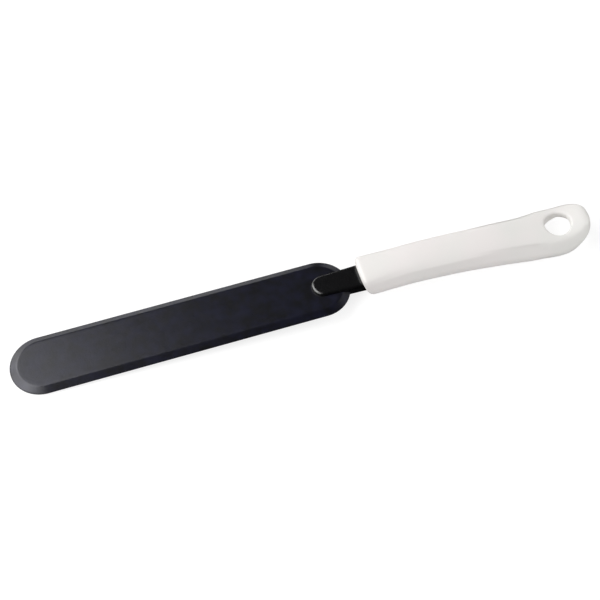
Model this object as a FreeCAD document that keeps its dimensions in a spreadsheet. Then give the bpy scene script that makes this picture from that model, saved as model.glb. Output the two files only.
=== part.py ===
"""Flexible spatula: a thin bevelled nylon blade, a black shank and a drooping moulded handle.

The shapes are built flat, in the blade's frame: the blade's tip is at X = 0, X runs towards the
handle, and Z = 0 is the foot of the blade's bevel. Every sub-part then gets one Placement, which
leans the tool the way it lies on a table, on its blade tip and on the belly of its handle, and puts
the origin under the middle of it. Millimetres, +Z up.
"""
import FreeCAD, Part
import math
import os
import Sketcher

V = FreeCAD.Vector
os.makedirs("parts", exist_ok=True)
doc = FreeCAD.newDocument("flexible_spatula")

# ---------------------------------------------------------------- driving dimensions
DIMENSIONS = {
    "blade_length": 175.0,       # tip to the rounded rear end, under the shank's tab
    "blade_width": 32.6,         # both ends are full half circles
    "edge_land": 0.5,            # square edge left below the bevel
    "bevel_rise": 1.7,           # height of the bevel, so the blade is 2.2 thick
    "bevel_side": 3.4,           # how far the bevel runs in along the sides
    "bevel_tip": 3.9,            # and at the two ends
    "tab_start": 155.1,          # rounded end of the tab that grips the blade
    "tab_half_width": 6.0,
    "shank_bottom": -2.5,
    "shank_thickness": 6.0,
    "tab_rounding": 1.75,        # along the top edges of tab and neck
    "shank_rounding": 0.5,       # along their bottom edges
    "neck_half_width": 6.9,
    "neck_seat": 187.0,          # shoulder of the neck, inside the handle
    "tang_end": 224.0,
    "tang_half_width": 4.3,
    "tang_bottom": -1.4,
    "tang_thickness": 4.1,
    "tang_chamfer": 1.5,
    "barb_reach": 1.0,           # how far a snap barb stands out from the tang
    "barb_start": 12.0,          # from its step to the end of the tang
    "barb_end": 4.0,
    "handle_front": 181.7,       # front face, at the height of the shank's axis
    "handle_length": 124.3,
    "handle_lean": 20.0,         # the front face leans forward at the top, degrees
    "front_rounding": 3.2,
    "end_length": 20.7,          # stretch over which the handle's outline closes
    "hole_place": 107.5,         # centre of the hanging hole, from the handle's front
    "hole_radius": 6.8,
    "hole_rounding": 0.8,
    "flare": 4.4,                # how far the hole widens at the underside
    "flare_height": 6.5,
    "flare_start": 1.0,          # the flare is cut from this far below the belly
}

sheet = doc.addObject("Spreadsheet::Sheet", "Dimensions")
for row, (alias, value) in enumerate(DIMENSIONS.items(), start=1):
    sheet.set(f"A{row}", alias)
    sheet.set(f"B{row}", str(value))
    sheet.setAlias(f"B{row}", alias)
doc.recompute()


def size(alias):
    """A driving dimension, as a plain number read from the sheet."""
    return float(sheet.get(alias))


# The handle's outline as five laws along its length, each a smooth curve through a few stations
# measured from the front. Heights are in the blade's frame.
LONG_STATIONS = (0, 22, 47, 72, 92, 108, size("handle_length"))
TOP_HEIGHTS = (7.8, 8.1, 6.5, 4.3, 1.6, 0.2, 4.6)
BELLY_HEIGHTS = (-5.8, -5.5, -6.6, -8.5, -11.1, -12.0, -3.2)
WIDTH_STATIONS = (0, 22, 47, 72, size("handle_length") - size("end_length"))
HALF_WIDTHS = (11.6, 11.6, 12.0, 13.4, 15.1)
RIDGE_STATIONS = (0, 22, 47, 72, 88, 100)
RIDGE_OFFSETS = (9.4, 8.7, 9.0, 8.8, 9.0, 11.6)   # crisp ridge beside the top face
CREASE_OFFSETS = (7.8, 5.6, 5.5, 7.1, 8.2, 9.5)   # soft crease inside the ridge
SHOULDER_STATIONS = (0, 47, 88, 102)
SHOULDER_DROPS = (2.3, 1.5, 1.9, 2.4)             # ridge below the top face
NOMINAL_THICKNESS = 13.0
OUTLINE_POWER = 2.55                              # squareness of the end seen from above
END_ROUNDING = 5.0                                # rounding of the end seen from the side
END_THICKNESS = 0.2                               # share of the thickness left at the very end
TOP_CROWN, BELLY_CROWN = 0.5, 0.3
FLANK_HEIGHT = 0.42                               # widest line, as a share of the thickness
BELLY_INSET = 0.27                                # from there in to the belly, likewise
SOFT_CORNER = 0.5
RIDGE_FADE = ((0, 0.15), (80, 0.15), (100, SOFT_CORNER))  # corner rounding of the ridge
LEAN_FADE = 22.0                                  # sections stand upright from here on
BODY_SECTIONS = 8
RIM_ANGLES, END_ANGLES = range(0, 91, 30), range(0, 86, 14)
BELOW_EVERYTHING = -20.0
LEAST_CUT = 100.0                                 # cubic millimetres that every cut must remove
TOUCH = 0.01


# ---------------------------------------------------------------- small helpers
def clamp(value, low=0.0, high=1.0):
    return max(low, min(high, value))


def linear(x, xs, ys):
    """Straight-line law through (xs, ys), held constant past its ends."""
    if x <= xs[0]:
        return ys[0]
    for x0, x1, y0, y1 in zip(xs, xs[1:], ys, ys[1:]):
        if x <= x1:
            return y0 + (y1 - y0) * (x - x0) / (x1 - x0)
    return ys[-1]


def smooth(x, xs, ys):
    """Monotone cubic law through (xs, ys), held constant past its ends."""
    if x <= xs[0]:
        return ys[0]
    if x >= xs[-1]:
        return ys[-1]
    gaps = [b - a for a, b in zip(xs, xs[1:])]
    rises = [(b - a) / gap for a, b, gap in zip(ys, ys[1:], gaps)]
    slopes = [rises[0]]
    for before, after, g0, g1 in zip(rises, rises[1:], gaps, gaps[1:]):
        if before * after <= 0:
            slopes.append(0.0)
        else:
            w0, w1 = 2 * g1 + g0, g1 + 2 * g0
            slopes.append((w0 + w1) / (w0 / before + w1 / after))
    slopes.append(rises[-1])
    i = max(k for k in range(len(gaps)) if x >= xs[k])
    gap, u = gaps[i], (x - xs[i]) / gaps[i]
    return (
        ys[i] * (1 + 2 * u) * (1 - u) ** 2
        + ys[i + 1] * u * u * (3 - 2 * u)
        + gap * slopes[i] * u * (1 - u) ** 2
        - gap * slopes[i + 1] * u * u * (1 - u)
    )


def new_body(name):
    return doc.addObject("PartDesign::Body", name)


def origin_plane(body, role):
    return next(f for f in body.Origin.OriginFeatures if f.Role == role)


def new_sketch(body, name, role="XY_Plane", height=None):
    """A sketch on one of the body's origin planes, raised by a sheet expression."""
    sketch = body.newObject("Sketcher::SketchObject", name)
    sketch.AttachmentSupport = [(origin_plane(body, role), "")]
    sketch.MapMode = "FlatFace"
    if height:
        sketch.setExpression("AttachmentOffset.Base.z", height)
    return sketch


def new_pad(body, name, profile, length):
    pad = body.newObject("PartDesign::Pad", name)
    pad.Profile = profile
    pad.setExpression("Length", length)
    return pad


def new_fillet(body, name, base, edges, radius):
    fillet = body.newObject("PartDesign::Fillet", name)
    fillet.Base = (base, edges)
    fillet.setExpression("Radius", radius)
    doc.recompute()
    return fillet


def edge_names(shape, wanted):
    return [f"Edge{i}" for i, edge in enumerate(shape.Edges, start=1) if wanted(edge)]


def subtract(body, name, tool):
    """Cut one body's solid out of another with a PartDesign boolean."""
    boolean = body.newObject("PartDesign::Boolean", name)
    boolean.setObjects([tool])
    boolean.Type = 1
    doc.recompute()
    return boolean


# ---------------------------------------------------------------- blade
def stadium(sketch, length, width, inset):
    """Two half circles joined by straight sides, constrained to sheet expressions."""
    reach = size("blade_length")
    half = size("blade_width") / 2
    left, right = V(half, 0, 0), V(reach - half, 0, 0)
    up = V(0, 0, 1)
    tip = sketch.addGeometry(Part.ArcOfCircle(Part.Circle(left, up, half), math.pi / 2, 1.5 * math.pi))
    side = sketch.addGeometry(Part.LineSegment(left - V(0, half, 0), right - V(0, half, 0)))
    rear = sketch.addGeometry(Part.ArcOfCircle(Part.Circle(right, up, half), -math.pi / 2, math.pi / 2))
    back = sketch.addGeometry(Part.LineSegment(right + V(0, half, 0), left + V(0, half, 0)))
    for first, second in ((tip, side), (side, rear), (rear, back), (back, tip)):
        sketch.addConstraint(Sketcher.Constraint("Tangent", first, 2, second, 1))
    sketch.addConstraint(Sketcher.Constraint("PointOnObject", tip, 3, -1))
    sketch.addConstraint(Sketcher.Constraint("Horizontal", side))
    radius = sketch.addConstraint(Sketcher.Constraint("Radius", tip, half))
    start = sketch.addConstraint(Sketcher.Constraint("DistanceX", -1, 1, tip, 3, half))
    span = sketch.addConstraint(Sketcher.Constraint("DistanceX", tip, 3, rear, 3, reach - 2 * half))
    sketch.setExpression(f"Constraints[{radius}]", f"({width}) / 2")
    sketch.setExpression(f"Constraints[{start}]", f"({inset}) + ({width}) / 2")
    sketch.setExpression(f"Constraints[{span}]", f"({length}) - ({width})")


def blade_body(name):
    """Thin strip with a square land all round and a bevel above it up to the flat top."""
    body = new_body(name)
    foot = new_sketch(body, name + "_foot", height="-Dimensions.edge_land")
    stadium(foot, "Dimensions.blade_length", "Dimensions.blade_width", "0")
    new_pad(body, name + "_land", foot, "Dimensions.edge_land")
    lower = new_sketch(body, name + "_bevel_foot")
    stadium(lower, "Dimensions.blade_length", "Dimensions.blade_width", "0")
    upper = new_sketch(body, name + "_bevel_top", height="Dimensions.bevel_rise")
    stadium(
        upper,
        "Dimensions.blade_length - 2 * Dimensions.bevel_tip",
        "Dimensions.blade_width - 2 * Dimensions.bevel_side",
        "Dimensions.bevel_tip",
    )
    bevel = body.newObject("PartDesign::AdditiveLoft", name + "_bevel")
    bevel.Profile = lower
    bevel.Sections = [upper]
    bevel.Ruled = True
    doc.recompute()
    return body


# ---------------------------------------------------------------- shank
def closed_outline(sketch, points, arcs=()):
    """Straight edges through points; an (i, middle) in arcs makes edge i an arc through middle."""
    bends = dict(arcs)
    for i, point in enumerate(points):
        following = points[(i + 1) % len(points)]
        if i in bends:
            sketch.addGeometry(Part.Arc(point, bends[i], following))
        else:
            sketch.addGeometry(Part.LineSegment(point, following))


def level_edges(shape, height, before):
    """Edges that lie flat at a height, leaving out the one that closes the outline at the rear."""
    return edge_names(
        shape,
        lambda e: e.BoundBox.ZLength < TOUCH and abs(e.CenterOfMass.z - height) < TOUCH
        and e.BoundBox.XMin < before - TOUCH,
    )


def shank_body(name):
    """Tab with a round end, tapering neck, and a thinner tang with two snap barbs."""
    body = new_body(name)
    start, seat, end = size("tab_start"), size("neck_seat"), size("tang_end")
    tab, neck, tang = size("tab_half_width"), size("neck_half_width"), size("tang_half_width")
    plan = new_sketch(body, name + "_plan", height="Dimensions.shank_bottom")
    closed_outline(
        plan,
        [V(start + tab, -tab, 0), V(seat, -neck, 0), V(seat, neck, 0), V(start + tab, tab, 0)],
        [(3, V(start, 0, 0))],
    )
    blank = new_pad(body, name + "_blank", plan, "Dimensions.shank_thickness")
    doc.recompute()
    top = size("shank_bottom") + size("shank_thickness")
    crown = new_fillet(
        body, name + "_crown", blank, level_edges(blank.Shape, top, seat), "Dimensions.tab_rounding"
    )
    new_fillet(
        body, name + "_foot", crown, level_edges(crown.Shape, size("shank_bottom"), seat),
        "Dimensions.shank_rounding",
    )

    root, chamfer = seat - 1, size("tang_chamfer")
    barb, barb_start, barb_end = size("barb_reach"), end - size("barb_start"), end - size("barb_end")
    half_profile = [
        (root, tang), (barb_start, tang), (barb_start, tang + barb), (barb_end, tang), (end, tang - chamfer),
    ]
    profile = [V(x, -y, 0) for x, y in half_profile] + [V(x, y, 0) for x, y in reversed(half_profile)]
    tang_plan = new_sketch(body, name + "_tang_plan", height="Dimensions.tang_bottom")
    closed_outline(tang_plan, profile)
    new_pad(body, name + "_tang", tang_plan, "Dimensions.tang_thickness")
    doc.recompute()
    return body


# ---------------------------------------------------------------- handle
def section_corners(place):
    """Half of the handle's section polygon at a distance from the front, top to belly."""
    length, closing = size("handle_length"), size("end_length")
    straight = length - closing
    full = smooth(place, WIDTH_STATIONS, HALF_WIDTHS)
    closed = clamp((place - straight) / closing)
    half = full * (1 - closed ** OUTLINE_POWER) ** (1 / OUTLINE_POWER)
    share = half / full
    top = smooth(place, LONG_STATIONS, TOP_HEIGHTS)
    belly = smooth(place, LONG_STATIONS, BELLY_HEIGHTS)
    ridge = smooth(place, RIDGE_STATIONS, RIDGE_OFFSETS) * share
    crease = smooth(place, RIDGE_STATIONS, CREASE_OFFSETS) * share
    # rounding of the far end seen from the side, and of the rim round the front face
    nearness = clamp((length - place) / END_ROUNDING)
    squeeze = END_THICKNESS + (1 - END_THICKNESS) * math.sqrt(1 - (1 - nearness) ** 2)
    middle, thick = (top + belly) / 2, (top - belly) * squeeze
    rim = size("front_rounding")
    inset = rim - math.sqrt(rim**2 - max(0.0, rim - place) ** 2)
    thick -= 2 * inset
    narrow = (half - inset) / half
    half, ridge, crease = half * narrow, ridge * narrow, crease * narrow
    top, belly = middle + thick / 2, middle - thick / 2
    drop = linear(place, SHOULDER_STATIONS, SHOULDER_DROPS) * thick / NOMINAL_THICKNESS
    crown = TOP_CROWN * thick / NOMINAL_THICKNESS
    return [
        (0.0, top + crown), (crease, top), (ridge, top - drop),
        (half, belly + FLANK_HEIGHT * thick), (half - BELLY_INSET * thick, belly), (0.0, belly - BELLY_CROWN),
    ]


def section_points(place, per_corner=2):
    """Closed run of (y, z) points: the polygon with each corner rounded by a parabola."""
    right = section_corners(place)
    polygon = right + [(-y, z) for y, z in right[-2:0:-1]]
    crisp = linear(place, *zip(*RIDGE_FADE))
    soft = SOFT_CORNER
    rounding = [soft, soft, crisp, soft, soft, soft, soft, soft, crisp, soft]
    points = []
    count = len(polygon)
    for i, (corner, cut) in enumerate(zip(polygon, rounding)):
        before, after = polygon[i - 1], polygon[(i + 1) % count]
        start = [c + cut * (b - c) for c, b in zip(corner, before)]
        stop = [c + cut * (a - c) for c, a in zip(corner, after)]
        for k in range(per_corner):
            u = (k + 0.5) / per_corner
            points.append(tuple(
                (1 - u) ** 2 * p + 2 * u * (1 - u) * c + u * u * q
                for p, c, q in zip(start, corner, stop)
            ))
    # the run starts on the flank, so that the surface's seam keeps clear of the hanging hole
    flank = 3 * per_corner
    return points[flank:] + points[:flank]


def section_places():
    """Stations of the sections: close together round the front rim and the far end."""
    rim, length, closing = size("front_rounding"), size("handle_length"), size("end_length")
    straight = length - closing
    front = [rim * (1 - math.cos(math.radians(angle))) for angle in RIM_ANGLES]
    body = [rim + (straight - rim) * k / BODY_SECTIONS for k in range(1, BODY_SECTIONS)]
    end = [straight + closing * math.sin(math.radians(angle)) for angle in END_ANGLES]
    return front + body + end


def handle_section(body, number, place):
    """A sketch holding one closed section, leaning with the front face where it is near it."""
    lean = size("handle_lean") * clamp(1 - place / LEAN_FADE)
    pivot = size("shank_bottom") + size("shank_thickness") / 2
    sketch = body.newObject("Sketcher::SketchObject", f"handle_section_{number}")
    sketch.AttachmentSupport = [(origin_plane(body, "YZ_Plane"), "")]
    sketch.MapMode = "FlatFace"
    sketch.AttachmentOffset = FreeCAD.Placement(
        V(0, pivot, size("handle_front") + place), FreeCAD.Rotation(V(1, 0, 0), -lean)
    )
    stretch = 1 / math.cos(math.radians(lean))
    points = [V(y, (z - pivot) * stretch, 0) for y, z in section_points(place)]
    curve = Part.BSplineCurve()
    curve.interpolate(points, PeriodicFlag=True)
    sketch.addGeometry(curve)
    return sketch


def round_hole(sketch, radius):
    """A circle on the hanging hole's centre, its place and radius bound to the sheet."""
    centre = V(size("handle_front") + size("hole_place"), 0, 0)
    circle = sketch.addGeometry(Part.Circle(centre, V(0, 0, 1), size("hole_radius")))
    sketch.addConstraint(Sketcher.Constraint("PointOnObject", circle, 3, -1))
    place = sketch.addConstraint(Sketcher.Constraint("DistanceX", -1, 1, circle, 3, centre.x))
    reach = sketch.addConstraint(Sketcher.Constraint("Radius", circle, size("hole_radius")))
    sketch.setExpression(f"Constraints[{place}]", "Dimensions.handle_front + Dimensions.hole_place")
    sketch.setExpression(f"Constraints[{reach}]", radius)


def handle_body(name):
    body = new_body(name)
    sections = [handle_section(body, n, place) for n, place in enumerate(section_places(), start=1)]
    loft = body.newObject("PartDesign::AdditiveLoft", name + "_form")
    loft.Profile = sections[0]
    loft.Sections = sections[1:]
    doc.recompute()
    whole = loft.Shape.Volume

    hole_plan = new_sketch(body, name + "_hole_plan", height=f"{BELOW_EVERYTHING}")
    round_hole(hole_plan, "Dimensions.hole_radius")
    hole = body.newObject("PartDesign::Pocket", name + "_hole")
    hole.Profile = hole_plan
    hole.Type = "ThroughAll"
    hole.Reversed = True
    doc.recompute()
    if hole.Shape.Volume > whole - LEAST_CUT:
        raise RuntimeError("the hanging hole removed nothing")
    below_belly = f"{min(BELLY_HEIGHTS)} - Dimensions.flare_start"
    flare_plan = new_sketch(body, name + "_flare_plan", height=below_belly)
    round_hole(flare_plan, "Dimensions.hole_radius + Dimensions.flare")
    flare = body.newObject("PartDesign::Pocket", name + "_flare")
    flare.Profile = flare_plan
    flare.Reversed = True
    flare.setExpression("Length", "Dimensions.flare_height + Dimensions.flare_start")
    flare.setExpression("TaperAngle", "-atan(Dimensions.flare / Dimensions.flare_height)")
    doc.recompute()
    if flare.Shape.Volume > hole.Shape.Volume - LEAST_CUT:
        raise RuntimeError("the flare under the hanging hole removed nothing")
    centre = size("handle_front") + size("hole_place")
    around = size("hole_radius") + TOUCH
    flare_top = min(BELLY_HEIGHTS) + size("flare_height")
    rims = edge_names(
        flare.Shape,
        lambda e: not isinstance(e.Curve, Part.Line) and e.BoundBox.ZMin > flare_top + TOUCH
        and e.BoundBox.XMin > centre - around and e.BoundBox.XMax < centre + around,
    )
    new_fillet(body, name + "_hole_rounding", flare, rims, "Dimensions.hole_rounding")
    return body


# ---------------------------------------------------------------- assembly
blade = blade_body("blade")
shank = shank_body("shank")
handle = handle_body("handle")

solid_shank = shank.Shape.Volume
subtract(shank, "shank_slot", blade_body("slot_core"))
if shank.Shape.Volume > solid_shank - LEAST_CUT:
    raise RuntimeError("the blade's slot removed nothing from the shank")
solid_handle = handle.Shape.Volume
subtract(handle, "handle_socket", shank_body("socket_core"))
if handle.Shape.Volume > solid_handle - LEAST_CUT:
    raise RuntimeError("the tang's socket removed nothing from the handle")

sub_parts = [blade, shank, handle]


def leaned_box(shape, lean):
    turned = shape.copy()
    turned.Placement = FreeCAD.Placement(V(), FreeCAD.Rotation(V(0, 1, 0), -lean))
    return turned.optimalBoundingBox(False)


def resting_place():
    """Lean about Y that stands the tool on its blade tip and belly, origin under its middle."""
    lowest = LONG_STATIONS[BELLY_HEIGHTS.index(min(BELLY_HEIGHTS))]
    span = size("handle_front") + lowest
    lean = 0.0
    for _ in range(4):
        gap = leaned_box(blade.Shape, lean).ZMin - leaned_box(handle.Shape, lean).ZMin
        lean += math.degrees(gap / span)
    box = leaned_box(Part.makeCompound([body.Shape for body in sub_parts]), lean)
    corner = V(-(box.XMin + box.XMax) / 2, 0, -box.ZMin)
    return FreeCAD.Placement(corner, FreeCAD.Rotation(V(0, 1, 0), -lean))


place = resting_place()
print(f"lean {math.degrees(place.Rotation.Angle):.4f} degrees, base {place.Base}")
for body in sub_parts:
    body.Label = body.Name
    body.Placement = place
doc.recompute()

for item in doc.Objects:
    if {"Invalid", "Error"} & set(item.State):
        raise RuntimeError(f"{item.Name} failed: {item.State}")
for body in sub_parts:
    if body.Shape.isNull() or not body.Shape.isValid() or len(body.Shape.Solids) != 1:
        raise RuntimeError(f"{body.Label} is not one valid solid")

for body in sub_parts:
    body.Shape.exportStep(f"parts/{body.Label}.step")
    box = body.Shape.optimalBoundingBox(False)
    print(
        f"{body.Label}: {body.Shape.Volume / 1000:.2f} cm3, "
        f"X {box.XMin:.2f} {box.XMax:.2f}, Y {box.YMin:.2f} {box.YMax:.2f}, Z {box.ZMin:.2f} {box.ZMax:.2f}"
    )
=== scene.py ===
"""Looks of the flexible spatula: detailed meshes, materials, floor, lights and camera.

Shapes are built in millimetres in the blade's frame (tip of the blade at X = 0, foot of the bevel
at Z = 0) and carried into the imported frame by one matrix, the lean at which the tool lies.
"""
import math

import bmesh
import bpy
import numpy as np
from mathutils import Matrix, Vector


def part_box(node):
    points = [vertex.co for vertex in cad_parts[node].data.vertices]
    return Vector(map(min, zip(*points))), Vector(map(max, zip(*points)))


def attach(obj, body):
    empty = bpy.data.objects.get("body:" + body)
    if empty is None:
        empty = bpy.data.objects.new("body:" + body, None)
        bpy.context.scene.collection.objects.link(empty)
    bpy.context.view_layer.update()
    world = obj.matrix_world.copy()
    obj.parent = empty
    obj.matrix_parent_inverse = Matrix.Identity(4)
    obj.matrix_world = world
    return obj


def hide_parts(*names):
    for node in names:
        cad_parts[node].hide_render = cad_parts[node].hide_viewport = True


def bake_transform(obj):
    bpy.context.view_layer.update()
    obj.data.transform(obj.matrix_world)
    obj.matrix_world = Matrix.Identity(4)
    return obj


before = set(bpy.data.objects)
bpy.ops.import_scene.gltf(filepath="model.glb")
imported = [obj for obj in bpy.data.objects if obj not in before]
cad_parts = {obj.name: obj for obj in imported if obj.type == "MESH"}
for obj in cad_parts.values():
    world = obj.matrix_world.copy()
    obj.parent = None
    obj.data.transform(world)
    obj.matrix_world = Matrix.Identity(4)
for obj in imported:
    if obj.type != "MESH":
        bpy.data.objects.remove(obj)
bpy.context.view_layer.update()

MM = 0.001

# ---------------------------------------------------------------- driving sizes, millimetres
BLADE_LENGTH, BLADE_WIDTH = 175.0, 32.6
EDGE_LAND, BEVEL_RISE = 0.5, 1.7
BEVEL_SIDE, BEVEL_TIP = 3.4, 3.9
TAB_START, NECK_HALF, NECK_SEAT = 155.1, 6.9, 187.0
SHANK_BOTTOM, SHANK_TOP = -2.5, 3.5
HANDLE_FRONT, HANDLE_LENGTH = 181.7, 124.3
HANDLE_LEAN, FRONT_ROUNDING, END_LENGTH = 20.0, 3.2, 20.7
HOLE_PLACE, HOLE_RADIUS = 107.5, 6.8
FLARE, FLARE_HEIGHT = 4.4, 6.5
TANG_END, TANG_HALF, TANG_BOTTOM, TANG_TOP = 224.0, 4.3, -1.4, 2.7
BARB_START, BARB_REACH = 212.0, 1.0
TOP_ROUNDING, BOTTOM_ROUNDING = 1.75, 0.5
END_START = HANDLE_LENGTH - END_LENGTH
HOLE_CENTRE = HANDLE_FRONT + HOLE_PLACE
PIVOT = (SHANK_BOTTOM + SHANK_TOP) / 2    # height of the shank's axis

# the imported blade's tip and the lean give the matrix from the blade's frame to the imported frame
LEAN = math.radians(2.3479)
blade_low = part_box("blade")[0]
TIP = Vector((blade_low.x, 0.0, EDGE_LAND * MM * math.cos(LEAN)))
PLACE = Matrix.Translation(TIP) @ Matrix.Rotation(-LEAN, 4, "Y")


def put(x, y, z):
    """A point of the blade's frame, in millimetres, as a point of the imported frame."""
    return PLACE @ (Vector((x, y, z)) * MM)


# ---------------------------------------------------------------- node helpers
def new_material(name):
    """A material with its node tree and its Principled shader."""
    material = bpy.data.materials.new(name)
    material.use_nodes = True
    tree = material.node_tree
    shader = tree.nodes["Principled BSDF"]
    return material, tree, shader


def object_coordinates(tree):
    """Coordinates that stay with the object."""
    return tree.nodes.new("ShaderNodeTexCoord").outputs["Object"]


def noise(tree, coordinates, per_millimetre, detail=2.0, roughness=0.5):
    """Fractal noise, 0 to 1, with this many features to the millimetre."""
    node = tree.nodes.new("ShaderNodeTexNoise")
    node.inputs["Scale"].default_value = per_millimetre / MM
    node.inputs["Detail"].default_value = detail
    node.inputs["Roughness"].default_value = roughness
    tree.links.new(coordinates, node.inputs["Vector"])
    return node.outputs["Fac"]


def ramp(tree, value, stops):
    """A colour ramp with two stops of (position, colour)."""
    node = tree.nodes.new("ShaderNodeValToRGB")
    node.color_ramp.elements[0].position = stops[0][0]
    node.color_ramp.elements[-1].position = stops[-1][0]
    for element, (_, colour) in zip(node.color_ramp.elements, stops):
        element.color = (*colour, 1.0)
    tree.links.new(value, node.inputs["Fac"])
    return node.outputs["Color"]


def spread(tree, value, low, high):
    """A 0 to 1 value moved to the range low to high."""
    node = tree.nodes.new("ShaderNodeMapRange")
    node.inputs["To Min"].default_value = low
    node.inputs["To Max"].default_value = high
    tree.links.new(value, node.inputs["Value"])
    return node.outputs["Result"]


def add_bump(tree, shader, layers):
    """Stacked bumps: layers of (height value, depth in millimetres)."""
    normal = None
    for value, depth in layers:
        node = tree.nodes.new("ShaderNodeBump")
        node.inputs["Strength"].default_value = 1.0
        node.inputs["Distance"].default_value = depth * MM
        tree.links.new(value, node.inputs["Height"])
        if normal:
            tree.links.new(normal, node.inputs["Normal"])
        normal = node.outputs["Normal"]
    tree.links.new(normal, shader.inputs["Normal"])


# ---------------------------------------------------------------- materials
def blade_nylon():
    """Dark nylon, mottled between neutral and blue-black, with a patchy soft sheen."""
    material, tree, shader = new_material("blade_nylon")
    place = object_coordinates(tree)
    mottle = noise(tree, place, 0.16, detail=5, roughness=0.7)
    neutral, blue_black = (0.0038, 0.0038, 0.0048), (0.0066, 0.0070, 0.0165)
    colour = ramp(tree, mottle, [(0.38, neutral), (0.62, blue_black)])
    tree.links.new(colour, shader.inputs["Base Color"])
    patches = noise(tree, place, 0.3, detail=5, roughness=0.75)
    tree.links.new(spread(tree, patches, 0.23, 0.38), shader.inputs["Roughness"])
    shader.inputs["IOR"].default_value = 1.56
    shader.inputs["Specular Tint"].default_value = (0.94, 0.94, 1.0, 1.0)
    waves, grain = noise(tree, place, 0.12, detail=2), noise(tree, place, 1.4, detail=3)
    add_bump(tree, shader, [(waves, 0.05), (grain, 0.03)])
    return material


def shank_nylon():
    """Blacker, slightly glossier nylon for the moulded tab and neck."""
    material, tree, shader = new_material("shank_nylon")
    place = object_coordinates(tree)
    mottle = noise(tree, place, 0.8, detail=3, roughness=0.6)
    dark, light = (0.0030, 0.0030, 0.0034), (0.0052, 0.0052, 0.0058)
    colour = ramp(tree, mottle, [(0.3, dark), (0.7, light)])
    tree.links.new(colour, shader.inputs["Base Color"])
    sheen = noise(tree, place, 1.1, detail=3)
    tree.links.new(spread(tree, sheen, 0.19, 0.28), shader.inputs["Roughness"])
    shader.inputs["IOR"].default_value = 1.8
    add_bump(tree, shader, [(noise(tree, place, 2.4, detail=3), 0.010)])
    return material


def handle_shell():
    """Warm pearly-white moulded plastic."""
    material, tree, shader = new_material("handle_shell")
    place = object_coordinates(tree)
    drift = noise(tree, place, 0.035, detail=2, roughness=0.5)
    pearl, warm = (0.79, 0.78, 0.755), (0.82, 0.785, 0.77)
    colour = ramp(tree, drift, [(0.35, pearl), (0.65, warm)])
    tree.links.new(colour, shader.inputs["Base Color"])
    sheen = noise(tree, place, 0.7, detail=3)
    tree.links.new(spread(tree, sheen, 0.34, 0.44), shader.inputs["Roughness"])
    waves, grain = noise(tree, place, 0.05, detail=1), noise(tree, place, 1.6, detail=2)
    add_bump(tree, shader, [(waves, 0.05), (grain, 0.004)])
    return material


def paper_floor():
    """White paper that glows a little, so that it shows almost no shadow."""
    material, tree, shader = new_material("paper_floor")
    place = object_coordinates(tree)
    drift = noise(tree, place, 0.01, detail=2)
    dark, light = (0.27, 0.27, 0.27), (0.29, 0.29, 0.29)
    tint = ramp(tree, drift, [(0.3, dark), (0.7, light)])
    tree.links.new(tint, shader.inputs["Base Color"])
    shader.inputs["Roughness"].default_value = 0.9
    shader.inputs["Emission Color"].default_value = WHITE
    shader.inputs["Emission Strength"].default_value = FLOOR_GLOW
    return material


# ---------------------------------------------------------------- mesh helpers
MERGE, DEGENERATE = 0.002 * MM, 0.001 * MM   # closer points become one, shorter edges go


def finish_mesh(name, points, faces, material):
    """A smooth-shaded object from points of the blade's frame and faces of point numbers."""
    mesh = bpy.data.meshes.new(name)
    mesh.from_pydata([put(*p) for p in points], [], faces)
    work = bmesh.new()
    work.from_mesh(mesh)
    bmesh.ops.remove_doubles(work, verts=work.verts, dist=MERGE)
    bmesh.ops.dissolve_degenerate(work, edges=work.edges, dist=DEGENERATE)
    loose = [vertex for vertex in work.verts if not vertex.link_faces]
    bmesh.ops.delete(work, geom=loose, context="VERTS")
    bmesh.ops.recalc_face_normals(work, faces=work.faces)
    work.to_mesh(mesh)
    work.free()
    for polygon in mesh.polygons:
        polygon.use_smooth = True
    mesh.materials.append(material)
    piece = bpy.data.objects.new(name, mesh)
    bpy.context.scene.collection.objects.link(piece)
    return piece


def join(faces, first, second):
    """Quads between two closed loops of point numbers."""
    for i in range(len(first)):
        j = (i + 1) % len(first)
        faces.append((first[i], first[j], second[j], second[i]))


def sew(points, faces, start_loop, rings, end_loop=None):
    """Quads from a loop of points that are there already, through new rings, to a last loop."""
    before = start_loop
    for ring in rings:
        after = list(range(len(points), len(points) + len(ring)))
        points.extend(tuple(p) for p in ring)
        join(faces, before, after)
        before = after
    if end_loop:
        join(faces, before, end_loop)
    return before


# ---------------------------------------------------------------- blade
STRAIGHT_STEPS, ARC_STEPS, ACROSS_STEPS = 96, 40, 12
# Insets are shares of the bevel's width, because it differs between the sides and the ends.
FOOT_INSET, TOP_INSET = 0.12, 1.45        # of the loops that underside and top are filled from
FOOT_ROUNDING, FOOT_ANGLES = 0.18, (30, 60, 90)
LAND_PROFILE = ((0.0, -0.16), (0.006, -0.06), (0.022, 0.02), (0.05, 0.085))
BEVEL_INSETS = (0.2, 0.4, 0.6, 0.78)
CREST, CREST_STEPS = 0.13, 5              # how far the crest's rounding reaches to each side of it


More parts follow.
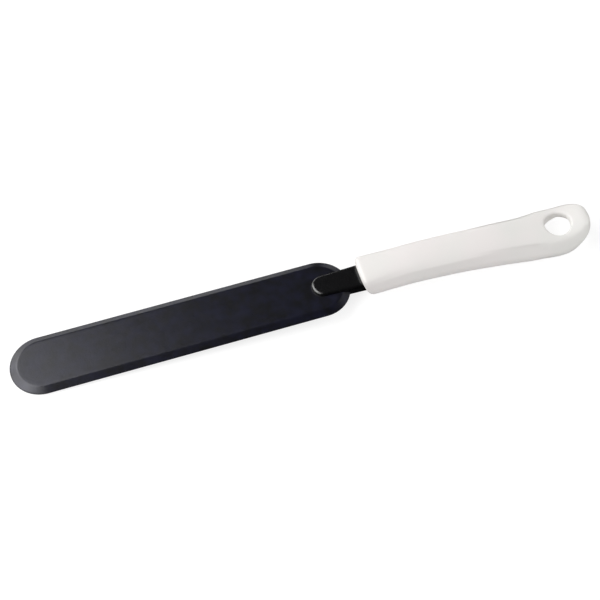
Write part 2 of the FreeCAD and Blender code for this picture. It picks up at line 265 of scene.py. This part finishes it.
def stadium_loop(inset_side, inset_tip, height):
    """One closed outline, counter-clockwise from the tip: half circles joined by straight sides."""
    half = BLADE_WIDTH / 2 - inset_side
    near, far = inset_tip + half, BLADE_LENGTH - inset_tip - half
    loop = []
    for k in range(ARC_STEPS // 2):
        angle = math.pi + (math.pi / 2) * k / (ARC_STEPS // 2)
        loop.append((near + half * math.cos(angle), half * math.sin(angle), height))
    for k in range(STRAIGHT_STEPS):
        loop.append((near + (far - near) * k / STRAIGHT_STEPS, -half, height))
    for k in range(ARC_STEPS):
        angle = -math.pi / 2 + math.pi * k / ARC_STEPS
        loop.append((far + half * math.cos(angle), half * math.sin(angle), height))
    for k in range(STRAIGHT_STEPS):
        loop.append((far - (far - near) * k / STRAIGHT_STEPS, half, height))
    for k in range(ARC_STEPS // 2):
        angle = math.pi / 2 + (math.pi / 2) * k / (ARC_STEPS // 2)
        loop.append((near + half * math.cos(angle), half * math.sin(angle), height))
    return loop


def ladder(points, faces, start, count, across):
    """Fills a closed loop whose point k faces point count - k, with rungs cut into squares."""
    half = count // 2
    rows = []
    for k in range(1, half):
        low, high = points[start + k], points[start + count - k]
        row = [start + k]
        for c in range(1, across):
            u = c / across
            row.append(len(points))
            points.append(tuple(a + (b - a) * u for a, b in zip(low, high)))
        row.append(start + count - k)
        rows.append(row)
    for first, second in zip(rows, rows[1:]):
        for c in range(across):
            faces.append((first[c], second[c], second[c + 1], first[c + 1]))
    for c in range(across):
        faces.append((start, rows[0][c], rows[0][c + 1]))
        faces.append((start + half, rows[-1][c + 1], rows[-1][c]))


def blade_profile():
    """(inset share, height) from the underside, over the land and bevel, to the flat top."""
    profile = [(FOOT_INSET, -EDGE_LAND)]
    for angle in FOOT_ANGLES:
        turn = math.radians(angle)
        share = FOOT_ROUNDING * (1 - math.sin(turn)) / BEVEL_SIDE
        profile.append((share, -EDGE_LAND + FOOT_ROUNDING * (1 - math.cos(turn))))
    profile.extend(LAND_PROFILE)
    crest_start = 1 - CREST
    for share in (*BEVEL_INSETS, crest_start):
        profile.append((share, BEVEL_RISE * share))
    for k in range(1, CREST_STEPS + 1):
        u = k / CREST_STEPS
        height = BEVEL_RISE * ((1 - u) ** 2 * crest_start + 2 * u * (1 - u) + u * u)
        profile.append((crest_start + 2 * CREST * u, height))
    profile.append((TOP_INSET, BEVEL_RISE))
    return profile


def build_blade(material):
    """The blade: loops of the profile, closed below and above by ladders of squares."""
    points, faces, loops = [], [], []
    for share, height in blade_profile():
        loops.append(len(points))
        points.extend(stadium_loop(BEVEL_SIDE * share, BEVEL_TIP * share, height))
    count = len(points) // len(loops)
    for first, second in zip(loops, loops[1:]):
        join(faces, range(first, first + count), range(second, second + count))
    ladder(points, faces, loops[0], count, ACROSS_STEPS)
    ladder(points, faces, loops[-1], count, ACROSS_STEPS)
    return finish_mesh("flexible_blade", points, faces, material)


# ---------------------------------------------------------------- handle
# Laws along the handle's length, through stations measured from its front.
LONG_STATIONS = (0, 22, 47, 72, 92, 108, HANDLE_LENGTH)
TOP_HEIGHTS = (7.8, 8.1, 6.5, 4.3, 1.6, 0.2, 4.6)
BELLY_HEIGHTS = (-5.8, -5.5, -6.6, -8.5, -11.1, -12.0, -3.2)
WIDTH_STATIONS = (0, 22, 47, 72, END_START)
HALF_WIDTHS = (11.6, 11.6, 12.0, 13.4, 15.1)
RIDGE_STATIONS = (0, 22, 47, 72, 88, 100)
RIDGE_OFFSETS = (9.4, 8.7, 9.0, 8.8, 9.0, 11.6)
CREASE_OFFSETS = (7.8, 5.6, 5.5, 7.1, 8.2, 9.5)
SHOULDER_STATIONS = (0, 47, 88, 102)
SHOULDER_DROPS = (2.3, 1.5, 1.9, 2.4)
NOMINAL_THICKNESS = 13.0
END_POWER = 2.55                          # squareness of the end seen from above
END_ROUNDING, END_THICKNESS = 5.0, 0.2    # rounding of the end seen from the side
TOP_CROWN, BELLY_CROWN = 0.5, 0.3
FLANK_HEIGHT, BELLY_INSET = 0.42, 0.27    # of the widest line and the belly, in thicknesses
NARROW, NARROW_BELLY = 0.3, 0.1           # a section narrower than this has a belly this wide
SOFT_CORNER = 0.5
RIDGE_CORNER = 2                          # counted from the top to either side
RIDGE_FADE = ((0, 80, 100), (0.15, 0.15, SOFT_CORNER))
LEAN_FADE = 22.0                          # sections stand upright from here on
PER_CORNER, CORNERS = 14, 10
RIM_ANGLES = range(0, 91, 9)
BODY_SECTIONS, PATCH_SECTIONS, HOLE_SECTIONS, END_SECTIONS = 84, 17, 40, 20


def smooth(x, xs, ys):
    """Monotone cubic law through (xs, ys), held constant past its ends."""
    if x <= xs[0]:
        return ys[0]
    if x >= xs[-1]:
        return ys[-1]
    gaps = [b - a for a, b in zip(xs, xs[1:])]
    rises = [(b - a) / gap for a, b, gap in zip(ys, ys[1:], gaps)]
    slopes = [rises[0]]
    for before, after, g0, g1 in zip(rises, rises[1:], gaps, gaps[1:]):
        if before * after <= 0:
            slopes.append(0.0)
        else:
            w0, w1 = 2 * g1 + g0, g1 + 2 * g0
            slopes.append((w0 + w1) / (w0 / before + w1 / after))
    slopes.append(rises[-1])
    i = max(k for k in range(len(gaps)) if x >= xs[k])
    gap, u = gaps[i], (x - xs[i]) / gaps[i]
    return (
        ys[i] * (1 + 2 * u) * (1 - u) ** 2
        + ys[i + 1] * u * u * (3 - 2 * u)
        + gap * slopes[i] * u * (1 - u) ** 2
        - gap * slopes[i + 1] * u * u * (1 - u)
    )


def section_corners(place):
    """Half of the handle's section polygon at a distance from the front, top to belly."""
    full = smooth(place, WIDTH_STATIONS, HALF_WIDTHS)
    closing = min(max((place - END_START) / END_LENGTH, 0.0), 1.0)
    half = full * max(1 - closing ** END_POWER, 0.0) ** (1 / END_POWER)
    share = half / full
    top = smooth(place, LONG_STATIONS, TOP_HEIGHTS)
    belly = smooth(place, LONG_STATIONS, BELLY_HEIGHTS)
    ridge = smooth(place, RIDGE_STATIONS, RIDGE_OFFSETS) * share
    crease = smooth(place, RIDGE_STATIONS, CREASE_OFFSETS) * share
    nearness = min(max((HANDLE_LENGTH - place) / END_ROUNDING, 0.0), 1.0)
    squeeze = END_THICKNESS + (1 - END_THICKNESS) * math.sqrt(max(0.0, 1 - (1 - nearness) ** 2))
    middle, thick = (top + belly) / 2, (top - belly) * squeeze
    rim = FRONT_ROUNDING
    inset = rim - math.sqrt(max(0.0, rim**2 - max(0.0, rim - place) ** 2))
    thick -= 2 * inset
    narrow = (half - inset) / half if half > 0 else 0.0
    half, ridge, crease = half * narrow, ridge * narrow, crease * narrow
    top, belly = middle + thick / 2, middle - thick / 2
    drop = float(np.interp(place, SHOULDER_STATIONS, SHOULDER_DROPS)) * thick / NOMINAL_THICKNESS
    crown = TOP_CROWN * thick / NOMINAL_THICKNESS
    low = half - BELLY_INSET * thick if half > NARROW * thick else NARROW_BELLY * half
    return [
        (0.0, top + crown), (crease, top), (ridge, top - drop),
        (half, belly + FLANK_HEIGHT * thick), (low, belly), (0.0, belly - BELLY_CROWN),
    ]


def section_points(place):
    """Closed run of (y, z) points: the polygon with each corner rounded by a parabola."""
    right = section_corners(place)
    polygon = np.array(right + [(-y, z) for y, z in right[-2:0:-1]])
    rounding = [SOFT_CORNER] * CORNERS
    rounding[RIDGE_CORNER] = rounding[-RIDGE_CORNER] = float(np.interp(place, *RIDGE_FADE))
    points = []
    for i, cut in enumerate(rounding):
        corner, before, after = polygon[i], polygon[i - 1], polygon[(i + 1) % len(polygon)]
        start, stop = corner + cut * (before - corner), corner + cut * (after - corner)
        for k in range(PER_CORNER):
            u = k / PER_CORNER
            points.append((1 - u) ** 2 * start + 2 * u * (1 - u) * corner + u * u * stop)
    return np.array(points)


def handle_point(place, y, z):
    """A point of the section at a place, moved by the lean of the sections near the front."""
    lean = math.radians(HANDLE_LEAN) * min(max(1 - place / LEAN_FADE, 0.0), 1.0)
    return (HANDLE_FRONT + place - math.tan(lean) * (z - PIVOT), y, z)


def section_places():
    """Stations along the handle, close together round the front rim, the hole and the far end."""
    closing = math.asin((PATCH_END - END_START) / END_LENGTH)
    front = [FRONT_ROUNDING * (1 - math.cos(math.radians(angle))) for angle in RIM_ANGLES]
    body = list(np.linspace(FRONT_ROUNDING, PATCH_START, BODY_SECTIONS)[1:])
    before_hole = list(np.linspace(PATCH_START, END_START, PATCH_SECTIONS)[1:])
    turns = [closing * k / HOLE_SECTIONS for k in range(1, HOLE_SECTIONS + 1)]
    last = math.pi / 2 - closing
    turns += [closing + last * k / END_SECTIONS for k in range(1, END_SECTIONS + 1)]
    around_hole_and_end = [END_START + END_LENGTH * math.sin(turn) for turn in turns]
    return front + body + before_hole + around_hole_and_end


# ---------------------------------------------------------------- hanging hole
PATCH_START, PATCH_END = 94.0, 121.0      # stretch that is meshed in rings round the hole
PATCH_REACH = 28                          # its half width, in section points from the middle
PATCH_SHARES = (0.18, 0.34, 0.48, 0.60, 0.70, 0.78, 0.85, 0.91, 0.96)
# cosine of the bearing round the hole, 1 at the rear, and height of the wall's lower edge there
WALL_BEARINGS = (-1, -0.5, 0, 0.3, 0.6, 1)
WALL_ENDS = (-7.6, -6.8, -5.4, -3.8, -2.2, -1.1)
RIM_ROUNDING, FLARE_BEND, EDGE_BEND = 1.6, 0.7, 0.6
FLARE_SLOPE = FLARE_HEIGHT / FLARE
LEAST_FLARE, MOST_FLARE = 2 * FLARE_BEND, FLARE + 1
RIM_STEPS, BEND_STEPS, EDGE_STEPS = 8, 4, 5
WALL_SHARES, FLARE_SHARES = (0.25, 0.5, 0.75), (0.33, 0.67)
FLARE_ROUNDS = 6                          # of the search for where the flare meets the belly
TABLE_STEP, TABLE_HALF, TABLE_MARGIN = 0.1, 16, 1
OUTLINE_STEPS = 12


def height_tables():
    """Heights of the handle's top and belly over a fine grid of the plan round the hole."""
    across = np.arange(-TABLE_HALF, TABLE_HALF, TABLE_STEP)
    top, belly = [], []
    for place in np.arange(PATCH_START - TABLE_MARGIN, HANDLE_LENGTH, TABLE_STEP):
        run = section_points(place)
        high, low = int(np.argmax(run[:, 0])), int(np.argmin(run[:, 0]))
        over, under = np.vstack([run[low:], run[:high + 1]]), run[low:high - 1:-1]
        for rows, side in ((top, over), (belly, under)):
            rows.append(np.interp(across, np.maximum.accumulate(side[:, 0]), side[:, 1]))
    return np.array(top), np.array(belly)


def lifted(plan, table):
    """Points of the plan raised to a table's surface."""
    u = (plan[:, 0] - HANDLE_FRONT - PATCH_START + TABLE_MARGIN) / TABLE_STEP
    v = (plan[:, 1] + TABLE_HALF) / TABLE_STEP
    i = np.clip(u.astype(int), 0, table.shape[0] - 2)
    j = np.clip(v.astype(int), 0, table.shape[1] - 2)
    u, v = u - i, v - j
    heights = (
        (1 - u) * (1 - v) * table[i, j] + u * (1 - v) * table[i + 1, j]
        + (1 - u) * v * table[i, j + 1] + u * v * table[i + 1, j + 1]
    )
    return np.column_stack([plan, heights])


def polar_reach(outline, bearings):
    """Distance from the origin to a closed outline of (a, b) points on each bearing."""
    steps = np.linspace(0, 1, OUTLINE_STEPS, endpoint=False)[:, None]
    runs = [a + (b - a) * steps for a, b in zip(outline, np.roll(outline, -1, axis=0))]
    dense = np.vstack(runs)
    angles = np.unwrap(np.arctan2(dense[:, 1], dense[:, 0]))
    return np.interp(bearings, angles, np.hypot(dense[:, 0], dense[:, 1]), period=2 * math.pi)


def hole_plan(bearings, offset):
    """Plan points of the hole's circle, moved out by one offset or by one for each bearing."""
    reach = HOLE_RADIUS + offset
    return np.column_stack([HOLE_CENTRE + reach * np.cos(bearings), reach * np.sin(bearings)])


def bend(start, corner, stop, steps):
    """Rings of a parabola that rounds a corner, without its two ends."""
    shares = [k / steps for k in range(1, steps)]
    return [(1 - u) ** 2 * start + 2 * u * (1 - u) * corner + u * u * stop for u in shares]


def patch_rings(opening, rim, table, shares):
    """Rings on a surface from the straight-sided opening of the grid towards the hole's rim."""
    plans = [opening[:, :2] + (rim[:, :2] - opening[:, :2]) * u for u in shares]
    return [lifted(plan, table) for plan in plans]


def hole_rings(top_opening, belly_opening):
    """Rings over the top, round the rim, down the wall and the flare, and back over the belly."""
    top_table, belly_table = height_tables()
    over, under = (
        np.unwrap(np.arctan2(loop[:, 1], loop[:, 0] - HOLE_CENTRE))
        for loop in (top_opening, belly_opening)
    )
    bearings = (over + under) / 2

    rim = lifted(hole_plan(bearings, RIM_ROUNDING), top_table)
    mouth = lifted(hole_plan(bearings, 0.0), top_table)
    wall = mouth - [0, 0, RIM_ROUNDING]
    rings = patch_rings(top_opening, rim, top_table, PATCH_SHARES)
    rings += [rim] + bend(rim, mouth, wall, RIM_STEPS) + [wall]

    # the flare is a cone that reaches the belly where the two are equally high
    level = np.array([smooth(math.cos(b), WALL_BEARINGS, WALL_ENDS) for b in bearings])
    reach = np.full(bearings.shape, FLARE)
    for _ in range(FLARE_ROUNDS):
        belly = lifted(hole_plan(bearings, reach), belly_table)[:, 2]
        reach = np.clip((level - belly) / FLARE_SLOPE, LEAST_FLARE, MOST_FLARE)
    corner = np.column_stack([mouth[:, :2], level])
    above = corner + [0, 0, FLARE_BEND]
    below = np.column_stack([hole_plan(bearings, FLARE_BEND / FLARE_SLOPE), level - FLARE_BEND])
    rings += [wall + (above - wall) * u for u in WALL_SHARES]
    rings += [above] + bend(above, corner, below, BEND_STEPS) + [below]

    edge = lifted(hole_plan(bearings, reach), belly_table)
    inner_reach = reach - EDGE_BEND
    inner = np.column_stack([hole_plan(bearings, inner_reach), level - inner_reach * FLARE_SLOPE])
    outer = lifted(hole_plan(bearings, reach + EDGE_BEND), belly_table)
    rings += [below + (inner - below) * u for u in FLARE_SHARES] + [inner]
    rings += bend(inner, edge, outer, EDGE_STEPS) + [outer]
    rings += patch_rings(belly_opening, outer, belly_table, PATCH_SHARES[::-1])
    return rings


def block_edge(rows, columns, count):
    """Numbers of the grid points round a block: rows first to last, columns in the order given."""
    first, last = rows
    columns = [c % count for c in columns]
    loop = [first * count + c for c in columns]
    loop += [row * count + columns[-1] for row in range(first + 1, last)]
    loop += [last * count + c for c in reversed(columns)]
    loop += [row * count + columns[0] for row in range(last - 1, first, -1)]
    return loop


# ---------------------------------------------------------------- socket for the shank
FIT_GAP = 0.12                            # between the shank and its socket
LIP = 0.25                                # width and depth of the rounded edge at its mouth
MOUTH_GRIP = 0.15                         # how far the mouth closes in on the neck
LIP_ROOM, MOUTH_ROOM = 0.05, 0.10         # kept free inside the front face's edge
LIP_STEP, LIP_SHARE = 0.07, 0.2           # of the ring between lip and mouth: depth, blend
FACE_SHARES = (0.35, 0.7, 1.0)
TANG_CORNER = 0.2
CORNER_STEPS = 8


def socket_ring(bearings, half_width, low, high, rounding_top, rounding_bottom, most=None):
    """(y, z) of a rounded rectangle round the shank's axis, no wider than the reaches in most."""
    outline = []
    above, below = (high - rounding_top, rounding_top), (low + rounding_bottom, rounding_bottom)
    corners = ((1, *above), (-1, *above), (-1, *below), (1, *below))
    for quarter, (side, middle_z, radius) in enumerate(corners):
        middle_y = side * (half_width - radius)
        for angle in np.linspace(quarter * math.pi / 2, (quarter + 1) * math.pi / 2, CORNER_STEPS):
            y, z = middle_y + radius * math.cos(angle), middle_z + radius * math.sin(angle)
            outline.append((y, z - PIVOT))
    reach = polar_reach(np.array(outline), bearings)
    if most is not None:
        reach = np.minimum(reach, most)
    return np.column_stack([reach * np.cos(bearings), PIVOT + reach * np.sin(bearings)])


def socket_rings(front):
    """Rings from the edge of the front face to its mouth, then down the socket to its end."""
    bearings = np.arctan2(front[:, 1] - PIVOT, front[:, 0])
    room = np.hypot(front[:, 1] - PIVOT, front[:, 0])

    def ring(depth, yz):
        return [handle_point(depth, y, z) for y, z in yz]

    def level_ring(x, yz):
        return [(x, y, z) for y, z in yz]

    neck = NECK_HALF + FIT_GAP
    low, high = SHANK_BOTTOM - FIT_GAP, SHANK_TOP + FIT_GAP
    corners = (TOP_ROUNDING, BOTTOM_ROUNDING)
    narrow = neck - MOUTH_GRIP
    mouth = socket_ring(bearings, narrow, low, high, *corners, most=room - MOUTH_ROOM)
    lip = socket_ring(bearings, narrow + LIP, low - LIP, high + LIP, *corners, most=room - LIP_ROOM)
    rings = [ring(0, front + (lip - front) * u) for u in FACE_SHARES]
    rings += [ring(LIP_STEP, mouth + (lip - mouth) * LIP_SHARE), ring(LIP, mouth)]
    seat = NECK_SEAT + FIT_GAP
    rings.append(level_ring(seat, socket_ring(bearings, neck, low, high, *corners)))
    tang = (TANG_BOTTOM - FIT_GAP, TANG_TOP + FIT_GAP, TANG_CORNER, TANG_CORNER)
    half = TANG_HALF + FIT_GAP
    barb = half + BARB_REACH
    for x, half_width in (
        (seat, half), (BARB_START, half), (BARB_START, barb), (TANG_END, barb),
        (TANG_END + FIT_GAP, half),
    ):
        rings.append(level_ring(x, socket_ring(bearings, half_width, *tang)))
    return rings


def build_handle(material):
    """The handle: a grid of sections, with rings sewn in for the hole and for the socket."""
    places = section_places()
    points, faces = [], []
    for place in places:
        points.extend(handle_point(place, y, z) for y, z in section_points(place))
    count = CORNERS * PER_CORNER
    top = PER_CORNER // 2
    belly = top + count // 2
    rows = [int(np.argmin(np.abs(np.array(places) - end))) for end in (PATCH_START, PATCH_END)]
    for row in range(len(places) - 1):
        for column in range(count):
            from_top = (column - top + count // 2) % count - count // 2
            near_middle = (
                -PATCH_REACH <= from_top < PATCH_REACH
                or -PATCH_REACH <= column - belly < PATCH_REACH
            )
            if rows[0] <= row < rows[1] and near_middle:
                continue
            here, beside = row * count + column, row * count + (column + 1) % count
            faces.append((here, here + count, beside + count, beside))

    over = block_edge(rows, range(top - PATCH_REACH, top + PATCH_REACH + 1), count)
    under = block_edge(rows, range(belly + PATCH_REACH, belly - PATCH_REACH - 1, -1), count)
    openings = [np.array([points[i] for i in loop]) for loop in (over, under)]
    sew(points, faces, over, hole_rings(*openings), under)

    front = np.array([points[i][1:] for i in range(count)])
    bottom = sew(points, faces, list(range(count)), socket_rings(front))
    faces.append(tuple(bottom))
    return finish_mesh("moulded_handle", points, faces, material)


nylon, dark_nylon, shell = blade_nylon(), shank_nylon(), handle_shell()

blade = build_blade(nylon)
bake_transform(blade)
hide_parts("blade")

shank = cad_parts["shank"]
shank.data.materials.clear()
shank.data.materials.append(dark_nylon)

handle = build_handle(shell)
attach(handle, "root")
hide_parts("handle")

# ---------------------------------------------------------------- floor and light
FLOOR_REACH, FLOOR_SQUARES = 3.0, 8
WHITE = (1.0, 1.0, 1.0, 1.0)
FLOOR_GLOW, BACKGROUND_GLOW = 0.78, 0.95
# name, place and aim in metres, width, height, power in watts
SOFTBOXES = (
    ("left_key", (-0.66, 0.30, 0.75), (-0.05, 0, 0), 0.9, 0.9, 10.0),
    ("left_front", (-0.79, -0.38, 0.82), (0, 0, 0), 0.85, 0.85, 4.7),
    ("left_far", (-0.80, 0.95, 0.58), (0, 0, 0), 0.55, 0.55, 2.7),
    ("back_card", (-0.42, 1.5, 0.22), (0, 0, 0.05), 1.4, 0.4, 3.8),
    ("back_right", (0.88, 1.35, 0.25), (0, 0, 0.05), 0.6, 0.4, 1.0),
    ("right_card", (0.90, 0.0, 0.90), (0, 0, 0), 0.5, 0.5, 0.5),
    ("right_fill", (1.15, -0.45, 0.88), (0, 0, 0), 1.2, 1.2, 13.2),
)
UNREFLECTED = ("right_fill",)             # lights that glossy rays don't see


def build_floor():
    """A plain floor that glossy rays don't see, so that the dark nylon doesn't mirror it."""
    work = bmesh.new()
    squares = {"x_segments": FLOOR_SQUARES, "y_segments": FLOOR_SQUARES}
    bmesh.ops.create_grid(work, **squares, size=FLOOR_REACH)
    mesh = bpy.data.meshes.new("floor")
    work.to_mesh(mesh)
    work.free()
    mesh.materials.append(paper_floor())
    floor = bpy.data.objects.new("floor", mesh)
    bpy.context.scene.collection.objects.link(floor)
    floor.visible_glossy = False


def build_world():
    """A pale background for low views, which only the camera sees."""
    world = bpy.data.worlds.new("studio")
    bpy.context.scene.world = world
    world.use_nodes = True
    background = world.node_tree.nodes["Background"]
    background.inputs["Color"].default_value = WHITE
    background.inputs["Strength"].default_value = BACKGROUND_GLOW
    for ray in ("diffuse", "glossy", "transmission", "scatter"):
        setattr(world.cycles_visibility, ray, False)


def softbox(name, place, aim, width, height, power):
    """A rectangular soft light at a place, turned to face the aim."""
    data = bpy.data.lights.new(name, "AREA")
    data.shape = "RECTANGLE"
    data.size, data.size_y = width, height
    data.energy = power
    lamp = bpy.data.objects.new(name, data)
    lamp.location = place
    lamp.rotation_euler = (Vector(aim) - Vector(place)).to_track_quat("-Z", "Y").to_euler()
    lamp.visible_glossy = name not in UNREFLECTED
    bpy.context.scene.collection.objects.link(lamp)


build_floor()
build_world()
for lamp_values in SOFTBOXES:
    softbox(*lamp_values)

# ---------------------------------------------------------------- camera
AZIMUTH, ELEVATION, ROLL = math.radians(-14.471), math.radians(58.0), math.radians(-3.0)
DISTANCE, FOCAL_PIXELS = 650.0, 1287.192
TARGET = (147.978, -3.178, 0.0)
FRAME_PIXELS, SENSOR = 600, 36.0
CLIP = (0.01, 20.0)


def build_camera():
    """The photograph's camera: its aim and distance are in millimetres of the blade's frame."""
    back = Vector((
        math.sin(AZIMUTH) * math.cos(ELEVATION),
        -math.cos(AZIMUTH) * math.cos(ELEVATION),
        math.sin(ELEVATION),
    ))
    right = Vector((0, 0, 1)).cross(back).normalized()
    up = back.cross(right)
    across = math.cos(ROLL) * right + math.sin(ROLL) * up
    upward = -math.sin(ROLL) * right + math.cos(ROLL) * up
    spot = (Vector(TARGET) + DISTANCE * back) * MM
    pose = Matrix((across, upward, back)).transposed().to_4x4()
    pose.translation = spot
    data = bpy.data.cameras.new("camera")
    data.sensor_width = SENSOR
    data.lens = FOCAL_PIXELS / FRAME_PIXELS * SENSOR
    data.clip_start, data.clip_end = CLIP
    camera = bpy.data.objects.new("camera", data)
    camera.matrix_world = PLACE @ pose
    bpy.context.scene.collection.objects.link(camera)
    bpy.context.scene.camera = camera


build_camera()
bpy.context.scene.view_settings.view_transform = "Standard"
